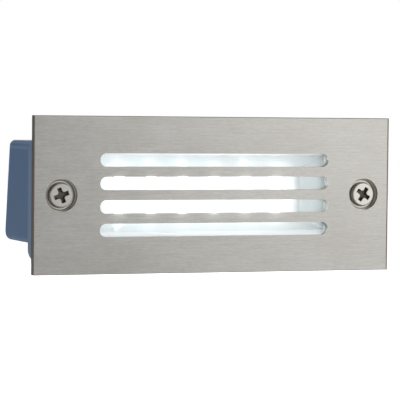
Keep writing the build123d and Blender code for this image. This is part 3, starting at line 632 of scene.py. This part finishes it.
def lit_nylon():
    """White nylon screws in the reflector's floor: waxy, a little mottled, and given the same
    painted glow as the floor."""
    lamp = settings("lamp")
    material = moulded(
        "white_nylon", linear("#d8dbd8"), linear("#e6e8e5"),
        grit=0.5 * MM, roughness=0.45, relief_depth=0.01 * MM, ior=1.53,
    )
    shader = opened(material)[1]
    shader.inputs["Emission Color"].default_value = rgba(lamp.glow)
    # Painted glow, as strong as the floor's.
    shader.inputs["Emission Strength"].default_value = lamp.painted_floor_glow
    return material


def lit_led_package():
    """White ceramic LED package with a lit eye. The eye is the only face at its own depth, just
    under the front of the package, so the light comes from that depth alone."""
    lamp = settings("lamp")
    material, tree, shader = start_finish(
        "lit_led_package", {"IOR": 1.5, "Emission Color": rgba(lamp.glow), "Roughness": 0.35}
    )
    place = object_place(tree)
    grit = noise(tree, place, 0.5 * MM)
    package = two_tone(tree, grit, linear("#dcdcd6"), linear("#f2f2ee"))
    eye_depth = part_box("leds")[0].y + LED_EYE_DEPTH
    eye = calculate(tree, "COMPARE", axes_of(tree, place)["Y"], eye_depth, 0.02 * MM)
    join(tree, shader, {
        "Base Color": painted(tree, eye, package, rgba(lamp.phosphor)),
        "Emission Strength": calculate(tree, "MULTIPLY", eye, lamp.led_strength),
    })
    return material


def circuit_board(name, mask, copper, track, roughness):
    """A printed circuit board: the solder mask is glossy and a shade lighter over the copper
    tracks, which are drawn as square runs of the given width."""
    material, tree, shader = start_finish(name, {"Roughness": roughness, "IOR": 1.5})
    upright = add_node(
        tree, "Mapping", {"Vector": object_place(tree), "Rotation": (pi / 2, 0, 0)}
    ).outputs["Vector"]
    tracks = add_node(
        tree, "TexBrick",
        {"Vector": upright, "Color1": rgba(mask), "Color2": rgba(mask), "Mortar": rgba(copper),
         "Scale": 1.0, "Mortar Size": track / 2, "Mortar Smooth": 0.1, "Brick Width": TRACK_RUN,
         "Row Height": TRACK_PITCH},
        offset=0.37,
    )
    join(tree, shader, {
        "Base Color": tracks.outputs["Color"],
        "Normal": relief(tree, tracks.outputs["Fac"], strength=0.4, depth=0.03 * MM),
    })
    return material


def wound_ferrite():
    """Sintered ferrite with a tape wound coil: near black grains with a dull glint, and turns of
    lacquered copper round the middle, drawn coarser than the real 0.3 mm."""
    material, tree, shader = start_finish("ferrite_and_copper_winding", {"Roughness": 0.5})
    place = object_place(tree)
    grains = add_node(tree, "TexVoronoi", {"Vector": place, "Scale": 1 / (0.5 * MM)})
    turns = bands(tree, place, WIRE_PITCH)
    stone = two_tone(tree, grains.outputs["Distance"], linear("#2a2a2b"), linear("#3d3d3e"))
    wire = two_tone(tree, turns, linear("#6b3517"), linear("#b5652d"))
    low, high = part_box("driver_choke")
    middle = (low.y + high.y) / 2
    coil = calculate(tree, "COMPARE", axes_of(tree, place)["Y"], middle, COIL_REACH)
    join(tree, shader, {
        "Base Color": painted(tree, coil, stone, wire),
        "Normal": relief(tree, turns, strength=0.4, depth=0.05 * MM),
    })
    return material


def housing_moulding():
    """Pale grey polycarbonate, with a painted glow on its rim round the reflector, where the lens
    covers it."""
    lamp = settings("lamp")
    material = moulded(
        "grey_polycarbonate", scaled(lamp.housing, 0.86), lamp.housing,
        grit=0.4 * MM, roughness=0.38, relief_depth=0.02 * MM, ior=POLYCARBONATE_IOR,
    )
    tree, shader = opened(material)
    shader.inputs["Emission Color"].default_value = rgba(lamp.glow)
    low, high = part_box("reflector")
    # Painted glow beside the reflector, behind the lens.
    place = object_place(tree)
    side = axes_of(tree, calculate_vector(tree, "ABSOLUTE", place))["Z"]
    beside = graded(tree, side, high.z + HOUSING_SIDE_END, high.z + HOUSING_SIDE_FULL)
    depth = axes_of(tree, place)["Y"]
    in_front = graded(
        tree, depth, low.y + HOUSING_DEPTH_END, low.y + HOUSING_DEPTH_FULL, high=lamp.painted_rim_glow
    )
    join(tree, shader, {"Emission Strength": calculate(tree, "MULTIPLY", beside, in_front)})
    return material


def box_moulding():
    """Slate blue polypropylene with painted light: paler on the rim and just behind it, and in
    painted highlight lines under the body's top edge."""
    box = settings("box")
    material = moulded(
        "slate_blue_polypropylene", box.skin, box.scuffed,
        grit=box.grit, roughness=0.42, relief_depth=0.03 * MM, ior=1.5,
    )
    tree, shader = opened(material)
    plain = shader.inputs["Base Color"].links[0].from_socket
    spot = axes_of(tree, object_place(tree))
    # Painted highlight lines under the top edge, and painted light on the rim.
    under = graded(tree, spot["Z"], BODY_TOP, BODY_TOP - TOP_HIGHLIGHT_DEPTH)
    lines = add_node(tree, "ValToRGB", {"Fac": under})
    stops = lines.color_ramp.elements
    stops[0].color = stops[1].color = rgba((0.0, 0.0, 0.0))
    for at, share in TOP_HIGHLIGHT_LINES:
        stops.new(at).color = rgba((share, share, share))
    below = calculate(tree, "GREATER_THAN", under, 0.0)
    flow = calculate(tree, "MULTIPLY", lines.outputs["Color"], below)
    rim = graded(tree, spot["Y"], RIM_LIGHT_END, RIM_LIGHT_FULL, high=RIM_PAINTED_LIGHT)
    pale = calculate(tree, "MAXIMUM", flow, rim)
    join(tree, shader, {"Base Color": painted(tree, pale, plain, rgba(box.flow))})
    return material


# Plain mouldings: material name, dark and light shade, grit, roughness, depth of the relief, and
# index of refraction.
MOULDINGS = {
    # Dense rubber, nearly matt, and greyer where it is rubbed.
    "black_rubber": ("black_rubber", "#1f1f20", "#2c2c2d", 0.4 * MM, 0.6, 0.03 * MM, 1.52),
    # Cut rubber sheet, brown and dull, with the coarsest skin.
    "gasket_rubber": (
        "brown_gasket_rubber", "#3a3330", "#4b4340", 0.3 * MM, 0.75, 0.04 * MM, 1.52
    ),
    # Soft white rubber with a waxy sheen.
    "white_silicone": ("white_silicone", "#dfe3e3", "#eef0f0", 0.6 * MM, 0.45, 0.01 * MM, 1.43),
    # Shrunk dark blue film, the glossiest of the plastics.
    "capacitor_sleeve": (
        "capacitor_sleeve", "#1b2236", "#27314b", 0.8 * MM, 0.28, 0.01 * MM, 1.5
    ),
    # Pressed black epoxy with a fine dry skin.
    "moulded_black": ("black_epoxy", "#1c1c1d", "#2a2a2b", 0.2 * MM, 0.55, 0.02 * MM, 1.55),
    # Green nylon with a low shine.
    "terminal_green": (
        "green_terminal_nylon", "#1f6b3a", "#2c8049", 0.4 * MM, 0.4, 0.02 * MM, 1.53
    ),
    # Black nylon, coarser and duller than the green.
    "gland_nylon": ("black_nylon", "#262627", "#343435", 0.5 * MM, 0.48, 0.03 * MM, 1.53),
}

# Finishes that have more in them than a plain moulding.
FINISHES = {
    "brushed_stainless_steel": brushed_stainless_sheet,
    "polished_steel": bright_screw_steel,
    # Grey steel with soft rings of light.
    "stainless_steel": lambda: turned(
        "plain_stainless_steel", linear("#a9a7a2"), linear("#c9c7c2"), roughness=0.3
    ),
    # Warm yellow metal, brighter than the steel.
    "brass": lambda: turned(
        "turned_brass", linear("#b8923f"), linear("#d8b766"), roughness=0.25
    ),
    "blue_polypropylene": box_moulding,
    "clear_polycarbonate": clear_polycarbonate,
    "grey_polycarbonate": housing_moulding,
    "white_reflector": lit_reflector,
    "white_nylon": lit_nylon,
    "lit_led": lit_led_package,
    # White solder mask, glossy, over tracks that barely show.
    "led_board_white": lambda: circuit_board(
        "white_led_board", linear("#e9eae7"), linear("#f4f4f1"), track=0.5 * MM, roughness=0.35
    ),
    # Green solder mask, the glossiest of the boards, over paler tracks.
    "circuit_board": lambda: circuit_board(
        "green_circuit_board", linear("#1d5a32"), linear("#2f7a47"), track=0.45 * MM,
        roughness=0.3,
    ),
    "ferrite": wound_ferrite,
}
made_finishes = {}


def finish(slot):
    """The material of one of the record's slots, made when it is first asked for."""
    if slot not in made_finishes:
        if slot in MOULDINGS:
            name, dark, light, *rest = MOULDINGS[slot]
            made_finishes[slot] = moulded(name, linear(dark), linear(light), *rest)
        else:
            made_finishes[slot] = FINISHES[slot]()
    return made_finishes[slot]


def finish_nodes(*names):
    """Gives CAD nodes the finishes of their slots in the record."""
    slots = {part["node"]: part["material_slot"] for part in frame["record"]["subparts"]}
    for name in names:
        piece = frame["nodes"][name]
        if not piece.material_slots:
            raise RuntimeError(f"{name} has no material slot")
        for slot in piece.material_slots:
            slot.material = finish(slots[name])


# Pieces ------------------------------------------------------------------------------------------


def new_piece(name, shape, body, slot):
    """Makes an object of a bmesh, in place, with a slot's finish, riding on a body."""
    mesh = bpy.data.meshes.new(name)
    bmesh.ops.recalc_face_normals(shape, faces=shape.faces)
    shape.to_mesh(mesh)
    shape.free()
    mesh.materials.append(finish(slot))
    piece = bpy.data.objects.new(name, mesh)
    bpy.context.scene.collection.objects.link(piece)
    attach(piece, body)
    return piece


def cut_thread(shape, axis_point, crest, thread, start, end):
    """Adds a right hand ridge round an axis along Y, as one closed shell that sinks a little into
    the core."""
    root = crest - thread.depth - THREAD_SINK
    half_foot = THREAD_FOOT * thread.pitch
    turns = (end - start) / thread.pitch
    steps = round(turns * thread.steps)
    corners = (
        (root, -half_foot), (crest, -CREST_FLAT / 2), (crest, CREST_FLAT / 2), (root, half_foot)
    )
    ring = [shape.verts.new(axis_point + Vector((out, start + along, 0))) for out, along in corners]
    bmesh.ops.spin(
        shape, geom=[shape.faces.new(ring)], cent=axis_point, axis=(0, 1, 0),
        dvec=(0, (end - start) / steps, 0), angle=2 * pi * turns, steps=steps,
        use_merge=False, use_normal_flip=False, use_duplicate=False,
    )


def threaded_screw(side):
    """A faceplate screw with its thread: the head and the plain shank are the CAD screw's, and the
    core and the ridge go on from there. The ridge's crest is the CAD shank's radius."""
    thread = settings("thread")
    node = frame["nodes"][f"{side}_faceplate_screw"]
    low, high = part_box(node.name)
    axis_point = Vector(((low.x + high.x) / 2, 0, (low.z + high.z) / 2))
    shape = bmesh.new()
    shape.from_mesh(node.data)
    bmesh.ops.remove_doubles(shape, verts=shape.verts, dist=WELD)
    cut_depth = low.y + HEAD_HEIGHT + thread.plain
    everything = shape.verts[:] + shape.edges[:] + shape.faces[:]
    bmesh.ops.bisect_plane(
        shape, geom=everything, dist=WELD, plane_co=(0, cut_depth, 0), plane_no=(0, 1, 0),
        clear_outer=True,
    )
    rim = [edge for edge in shape.edges if edge.is_boundary]
    cut_middle = axis_point + Vector((0, cut_depth, 0))
    crest = max((edge.verts[0].co - cut_middle).length for edge in rim)
    core = crest - thread.depth
    tip = high.y - TIP_TAPER
    for depth, radius in ((cut_depth + NECK, core), (tip, core), (high.y, core - TIP_NARROWING)):
        grown = bmesh.ops.extrude_edge_only(shape, edges=rim)["geom"]
        corners = [item for item in grown if isinstance(item, bmesh.types.BMVert)]
        rim = [
            item for item in grown if isinstance(item, bmesh.types.BMEdge) and item.is_boundary
        ]
        for corner in corners:
            out = Vector((corner.co.x - axis_point.x, 0, corner.co.z - axis_point.z)).normalized()
            corner.co = axis_point + out * radius + Vector((0, depth, 0))
    bmesh.ops.holes_fill(shape, edges=rim, sides=0)
    cut_thread(
        shape, axis_point, crest, thread, cut_depth + THREAD_START, tip + THREAD_OVERRUN
    )
    piece = new_piece(f"{side}_threaded_screw", shape, f"{side}_screw", "polished_steel")
    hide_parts(node.name)


# Stage -------------------------------------------------------------------------------------------


def softbox(name, place, width, height, radiance):
    """A soft white studio light that faces the object. Radiance is how bright its surface is."""
    light = bpy.data.lights.new(name, "AREA")
    light.shape = "RECTANGLE"
    light.size = width
    light.size_y = height
    light.energy = radiance * pi * width * height
    lamp = bpy.data.objects.new(name, light)
    lamp.location = place
    lamp.rotation_euler = (-Vector(place)).to_track_quat("-Z", "Y").to_euler()
    bpy.context.scene.collection.objects.link(lamp)


def overhead_sun(stage):
    """Broad light from straight above, which keeps the floor pale and leaves the upright faceplate
    alone."""
    light = bpy.data.lights.new("overhead", "SUN")
    light.energy = stage.overhead
    light.angle = SUN_WIDTH
    lamp = bpy.data.objects.new("overhead", light)
    bpy.context.scene.collection.objects.link(lamp)


def light_room(stage):
    """Even pale light from all round, which the camera sees as plain white."""
    world = bpy.data.worlds.new("pale_room")
    bpy.context.scene.world = world
    world.use_nodes = True
    tree = world.node_tree
    tree.nodes.clear()
    to_eye = add_node(tree, "LightPath").outputs["Is Camera Ray"]
    strength = graded(tree, to_eye, low=stage.fill)
    room = add_node(tree, "Background", {"Color": rgba(linear("#ffffff")), "Strength": strength})
    add_node(tree, "OutputWorld", {"Surface": room.outputs["Background"]})


def lay_floor(stage):
    """A plain pale floor under the object, as white to the camera as the room behind it."""
    low = frame_bounds[0]
    shape = bmesh.new()
    bmesh.ops.create_grid(shape, x_segments=1, y_segments=1, size=FLOOR_REACH)
    bmesh.ops.translate(shape, verts=shape.verts, vec=(0, 0, low.z - stage.floor_drop))
    mesh = bpy.data.meshes.new("floor")
    shape.to_mesh(mesh)
    shape.free()
    material, tree, shader = start_finish(
        "matt_white_paper", {"Roughness": 0.9, "Emission Color": rgba(linear("#ffffff"))}
    )
    fibre = noise(tree, object_place(tree), 2 * MM)
    to_eye = add_node(tree, "LightPath").outputs["Is Camera Ray"]
    join(tree, shader, {
        "Base Color": two_tone(tree, fibre, linear("#f4f4f3"), linear("#f8f8f7")),
        "Emission Strength": calculate(tree, "MULTIPLY", to_eye, FLOOR_GLOW),
    })
    mesh.materials.append(material)
    floor = bpy.data.objects.new("floor", mesh)
    bpy.context.scene.collection.objects.link(floor)


def set_camera(stage):
    """The camera stands where the photograph was taken from."""
    camera = bpy.data.cameras.new("camera")
    camera.lens = stage.lens_length
    camera.sensor_width = SENSOR_WIDTH
    eye = bpy.data.objects.new("camera", camera)
    turn = (
        Matrix.Rotation(-stage.yaw, 4, "Z")
        @ Matrix.Rotation(pi / 2 - stage.pitch, 4, "X")
        @ Matrix.Rotation(stage.roll, 4, "Z")
    )
    eye.matrix_world = Matrix.Translation(stage.camera_place) @ turn
    bpy.context.scene.collection.objects.link(eye)
    bpy.context.scene.camera = eye


def add_glow():
    """The soft glow that the bright LEDs leave round themselves in the lens of a camera."""
    scene = bpy.context.scene
    scene.use_nodes = True
    tree = scene.node_tree
    tree.nodes.clear()
    layers = tree.nodes.new("CompositorNodeRLayers")
    glare = tree.nodes.new("CompositorNodeGlare")
    glare.glare_type = "BLOOM"
    glare.quality = "HIGH"
    for socket, value in GLARE.items():
        glare.inputs[socket].default_value = value
    picture = tree.nodes.new("CompositorNodeComposite")
    tree.links.new(layers.outputs["Image"], glare.inputs["Image"])
    tree.links.new(glare.outputs["Image"], picture.inputs["Image"])


# Operators ---------------------------------------------------------------------------------------


class STEPLIGHT_OT_faceplate(Operator):
    """Finish the faceplate, its studs and its gasket"""

    bl_idname = "step_light.faceplate"
    bl_label = "Faceplate"

    def execute(self, context):
        finish_nodes("faceplate", "face_gasket", "plate_studs")
        return {"FINISHED"}


class STEPLIGHT_OT_screws(Operator):
    """Cut the threads of the faceplate screws, and finish them and their seals"""

    bl_idname = "step_light.screws"
    bl_label = "Faceplate screws"

    def execute(self, context):
        for side in SIDES:
            finish_nodes(f"{side}_faceplate_screw", f"{side}_screw_seal")
            threaded_screw(side)
        return {"FINISHED"}


class STEPLIGHT_OT_wall_box(Operator):
    """Finish the wall box, its threaded inserts and the cable grommet"""

    bl_idname = "step_light.wall_box"
    bl_label = "Wall box"

    def execute(self, context):
        finish_nodes("wall_box", "box_inserts", "cable_grommet")
        return {"FINISHED"}


class STEPLIGHT_OT_lights(Operator):
    """Finish the lens, the reflector, the lit LEDs and their board"""

    bl_idname = "step_light.lights"
    bl_label = "Lens and LEDs"

    def execute(self, context):
        finish_nodes("lens", "lens_gasket", "reflector", "reflector_screws", "led_board", "leds")
        return {"FINISHED"}


class STEPLIGHT_OT_housing(Operator):
    """Finish the lamp housing, its cover and its fasteners"""

    bl_idname = "step_light.housing"
    bl_label = "Lamp housing"

    def execute(self, context):
        finish_nodes(
            "lamp_housing", "housing_washers", "housing_nuts", "driver_cover", "cover_seal",
            "cover_screws",
        )
        return {"FINISHED"}


class STEPLIGHT_OT_driver(Operator):
    """Finish the driver board and the parts on it"""

    bl_idname = "step_light.driver"
    bl_label = "Driver"

    def execute(self, context):
        finish_nodes(
            "driver_board", "driver_board_screws", "driver_capacitors", "driver_transformer",
            "driver_choke", "driver_chip", "link_header", "link_pins", "terminal_block",
            "terminal_screws",
        )
        return {"FINISHED"}


class STEPLIGHT_OT_gland(Operator):
    """Finish the cable gland"""

    bl_idname = "step_light.gland"
    bl_label = "Cable gland"

    def execute(self, context):
        finish_nodes("gland_body", "gland_locknut", "gland_seal", "gland_nut")
        return {"FINISHED"}


class STEPLIGHT_OT_stage(Operator):
    """Set the floor, the lights, the camera and the glow"""

    bl_idname = "step_light.stage"
    bl_label = "Stage"

    def execute(self, context):
        stage = settings("stage")
        light_room(stage)
        for side, (place, width, height) in SOFTBOXES.items():
            softbox(f"{side}_softbox", place, width, height, getattr(stage, side))
        overhead_sun(stage)
        lay_floor(stage)
        set_camera(stage)
        add_glow()
        context.scene.view_settings.view_transform = "Standard"
        return {"FINISHED"}


OPERATORS = (
    STEPLIGHT_OT_faceplate,
    STEPLIGHT_OT_screws,
    STEPLIGHT_OT_wall_box,
    STEPLIGHT_OT_lights,
    STEPLIGHT_OT_housing,
    STEPLIGHT_OT_driver,
    STEPLIGHT_OT_gland,
    STEPLIGHT_OT_stage,
)


class STEPLIGHT_PT_panel(Panel):
    """Lists the step light's pieces and their sizes and colours"""

    bl_idname = "STEPLIGHT_PT_panel"
    bl_label = "Step Light"
    bl_space_type = "VIEW_3D"
    bl_region_type = "UI"
    bl_category = "Step Light"

    def draw(self, context):
        for group in GROUPS:
            column = self.layout.column()
            values = getattr(context.scene, group)
            for name in values.bl_rna.properties.keys():
                if name not in ("rna_type", "name"):
                    column.prop(values, name)
        for operator in OPERATORS:
            self.layout.operator(operator.bl_idname)


def register():
    for group, kind in GROUPS.items():
        bpy.utils.register_class(kind)
        setattr(bpy.types.Scene, group, PointerProperty(type=kind))
    for kind in (*OPERATORS, STEPLIGHT_PT_panel):
        bpy.utils.register_class(kind)


def unregister():
    for kind in reversed((*OPERATORS, STEPLIGHT_PT_panel)):
        bpy.utils.unregister_class(kind)
    for group, kind in reversed(GROUPS.items()):
        delattr(bpy.types.Scene, group)
        bpy.utils.unregister_class(kind)


def main():
    """Builds every piece and the stage."""
    register()
    for operator in OPERATORS:
        group, name = operator.bl_idname.split(".")
        getattr(getattr(bpy.ops, group), name)()


if __name__ == "__main__":
    main()
